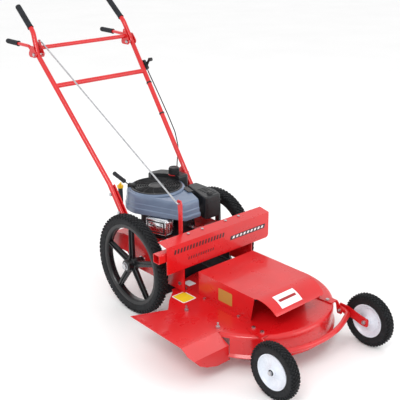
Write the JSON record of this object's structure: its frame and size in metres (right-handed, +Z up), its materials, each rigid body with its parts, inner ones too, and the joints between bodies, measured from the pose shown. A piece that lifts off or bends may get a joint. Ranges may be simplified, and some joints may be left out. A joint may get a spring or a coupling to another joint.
{
  "type": "brush mower",
  "caption": "Walk-behind brush mower: round deck with side discharge, belt hood, large driven rear wheels, small front wheels, vertical-shaft engine and a tall handle with a drive bail.",
  "frame": {"origin": "on the ground, midway between the rear wheels below their axle", "axes": "+X to the operator's left, +Y to the rear where the operator walks, +Z up"},
  "size_m": [0.9369, 2.1451, 1.4263],
  "materials": {
    "red_enamel": "glossy bright red enamel",
    "housing_grey": "smooth blue-grey enamel",
    "black_enamel": "satin black enamel",
    "white_enamel": "glossy white enamel",
    "yellow_plastic": "yellow oil cap",
    "black_plastic": "fine-grained black moulding",
    "spoke_plastic": "satin black moulding",
    "cast_alloy": "as-cast aluminium alloy",
    "zinc_steel": "bright zinc-plated steel",
    "dark_steel": "plain oiled steel",
    "chrome_plate": "bright chrome plate",
    "iron": "bare machined cast iron",
    "tread_rubber": "matt moulded tread rubber",
    "grip_rubber": "soft matt grip rubber",
    "belt_rubber": "dark fabric-faced rubber"
  },
  "bodies": {
    "chassis": {"deck_shell": "red_enamel", "discharge_deflector": "red_enamel", "deflector_studs": "zinc_steel", "belt_hood": "red_enamel", "dash_shield": "red_enamel", "dash_cross_tube": "red_enamel", "dash_brackets": "red_enamel", "side_plates": "red_enamel", "engine_plate": "red_enamel", "deck_brackets": "red_enamel", "front_brackets": "red_enamel", "yoke_arms": "red_enamel", "bumper_tube": "red_enamel", "handle_tubes": "red_enamel", "handle_crossbar": "red_enamel", "handle_grips": "grip_rubber", "throttle_housing": "black_plastic", "throttle_cable": "grip_rubber", "engine_crankcase": "black_enamel", "engine_cylinder": "black_enamel", "spark_plug": "zinc_steel", "muffler": "chrome_plate", "blower_housing": "housing_grey", "blower_grille": "black_plastic", "air_cleaner": "black_plastic", "carburettor": "cast_alloy", "fuel_tank": "black_plastic", "blade_belt": "belt_rubber", "drive_belt": "belt_rubber", "spindle_housing": "iron", "ball_bearings": "zinc_steel", "gearbox": "cast_alloy", "front_axle_bolts": "zinc_steel", "frame_bolts": "zinc_steel", "cover_bolts": "zinc_steel", "pivot_bolts": "zinc_steel"},
    "rear_wheel_set": {"rear_axle": "zinc_steel", "rear_rims": "spoke_plastic", "rear_tyres": "tread_rubber", "axle_nuts": "zinc_steel"},
    "front_wheel_left": {"front_rim_left": "white_enamel", "front_tyre_left": "tread_rubber"},
    "front_wheel_right": {"front_rim_right": "white_enamel", "front_tyre_right": "tread_rubber"},
    "crank_set": {"crankshaft": "dark_steel", "flywheel": "iron", "crank_pulleys": "dark_steel"},
    "spindle_set": {"spindle_shaft": "dark_steel", "spindle_pulley": "dark_steel", "blade": "dark_steel", "blade_bolt": "zinc_steel"},
    "gearbox_input": {"gearbox_pulley": "dark_steel"},
    "bail": {"drive_bail": "red_enamel", "bail_grips": "grip_rubber"},
    "rod": {"control_rod": "zinc_steel"},
    "post": {"clutch_post": "red_enamel"},
    "throttle": {"throttle_lever": "black_plastic"},
    "starter": {"starter_grip": "grip_rubber"},
    "fuel_cap_body": {"fuel_cap": "black_plastic"},
    "dipstick_body": {"dipstick": "yellow_plastic"}
  },
  "joints": [
    {"name": "rear_axle_spin", "type": "hinge", "parent": "chassis", "child": "rear_wheel_set", "pos_m": [0, 0, 0.254], "axis": [1, 0, 0], "continuous": true},
    {"name": "front_wheel_spin_left", "type": "hinge", "parent": "chassis", "child": "front_wheel_left", "pos_m": [0.312, -0.988, 0.127], "axis": [1, 0, 0], "continuous": true},
    {"name": "front_wheel_spin_right", "type": "hinge", "parent": "chassis", "child": "front_wheel_right", "pos_m": [-0.312, -0.988, 0.127], "axis": [1, 0, 0], "continuous": true},
    {"name": "crank_spin", "type": "hinge", "parent": "chassis", "child": "crank_set", "pos_m": [0, 0.157, 0.38], "axis": [0, 0, 1], "continuous": true},
    {"name": "spindle_spin", "type": "hinge", "parent": "chassis", "child": "spindle_set", "pos_m": [0, -0.548, 0.19], "axis": [0, 0, 1], "continuous": true},
    {"name": "gearbox_pulley_spin", "type": "hinge", "parent": "chassis", "child": "gearbox_input", "pos_m": [0.13, -0.048, 0.27], "axis": [0, 0, 1], "continuous": true},
    {"name": "bail_squeeze", "type": "hinge", "parent": "chassis", "child": "bail", "pos_m": [0, 0.731, 1.19], "axis": [1, 0, 0], "range_deg": [0, 29], "stiffness_Nm_per_rad": 2, "springref_deg": -11.46},
    {"name": "rod_swing", "type": "hinge", "parent": "bail", "child": "rod", "pos_m": [-0.272, 0.757, 1.25], "axis": [1, 0, 0], "range_deg": [-30, 0.5]},
    {"name": "post_tilt", "type": "hinge", "parent": "chassis", "child": "post", "pos_m": [-0.181, -0.248, 0.452], "axis": [1, 0, 0], "range_deg": [-0.5, 12]},
    {"name": "throttle_swing", "type": "hinge", "parent": "chassis", "child": "throttle", "pos_m": [0.321, 0.627, 1.068], "axis": [1, 0, 0], "range_deg": [0, 70]},
    {"name": "starter_pull", "type": "slide", "parent": "chassis", "child": "starter", "axis": [-0.1203, 0.9324, 0.3409], "range_m": [0, 0.45], "stiffness_N_per_m": 30, "springref_m": -0.1},
    {"name": "fuel_cap_lift", "type": "slide", "parent": "chassis", "child": "fuel_cap_body", "axis": [0, 0, 1], "range_m": [0, 0.04]},
    {"name": "dipstick_lift", "type": "slide", "parent": "chassis", "child": "dipstick_body", "axis": [0, 0, 1], "range_m": [0, 0.15]}
  ],
  "couplings": [
    {"joint": "spindle_spin", "follows": "crank_spin", "ratio": 0.71429},
    {"joint": "gearbox_pulley_spin", "follows": "crank_spin", "ratio": 1},
    {"joint": "rod_swing", "follows": "bail_squeeze", "ratio": -0.98679},
    {"joint": "post_tilt", "follows": "bail_squeeze", "ratio": 0.34732}
  ]
}
